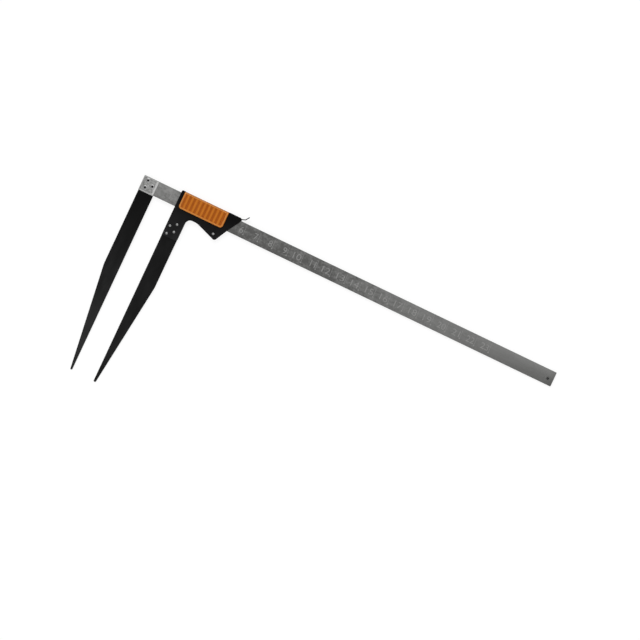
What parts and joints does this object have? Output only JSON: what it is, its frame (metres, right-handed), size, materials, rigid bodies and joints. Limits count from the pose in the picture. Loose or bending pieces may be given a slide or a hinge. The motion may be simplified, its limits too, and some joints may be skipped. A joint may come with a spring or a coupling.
{
  "type": "log caliper",
  "caption": "Log caliper: flat steel beam with an inch scale, a black fixed jaw at its head and a black sliding jaw on a folded housing with a ribbed orange grip.",
  "frame": {"origin": "zero corner of the scale: where the fixed jaw's measuring face meets the beam's lower edge, at the middle of the thickness", "axes": "+X along the beam away from the fixed jaw, +Y across the beam away from the jaws, +Z out of the face that carries the scale"},
  "size_m": [0.725, 0.3397, 0.0144],
  "materials": {
    "beam_steel": "satin rolled steel with a printed inch scale",
    "jaw_paint": "satin black enamel",
    "housing_paint": "satin black enamel",
    "head_steel": "bright brushed cover plates",
    "screw_steel": "bright machine screws with dark sockets",
    "pin_steel": "dark spring steel",
    "rivet_steel": "bright domed rivets",
    "spring_steel": "dull spring steel",
    "grip_plastic": "moulded orange plastic"
  },
  "bodies": {
    "beam": {"beam": "beam_steel", "fixed_jaw": "jaw_paint", "head_plate_front": "head_steel", "head_plate_back": "head_steel", "head_screw_1": "screw_steel", "head_screw_2": "screw_steel", "head_screw_3": "screw_steel", "stop_pin": "pin_steel"},
    "slider": {"slider_housing": "housing_paint", "sliding_jaw": "jaw_paint", "jaw_rivet_1": "rivet_steel", "jaw_rivet_2": "rivet_steel", "jaw_rivet_3": "rivet_steel", "jaw_rivet_4": "rivet_steel", "corner_rivet": "rivet_steel", "leaf_spring": "spring_steel", "grip": "grip_plastic"}
  },
  "joints": [
    {"name": "slider_slide", "type": "slide", "parent": "beam", "child": "slider", "axis": [1, 0, 0], "range_m": [-0.03848, 0.5531]}
  ]
}
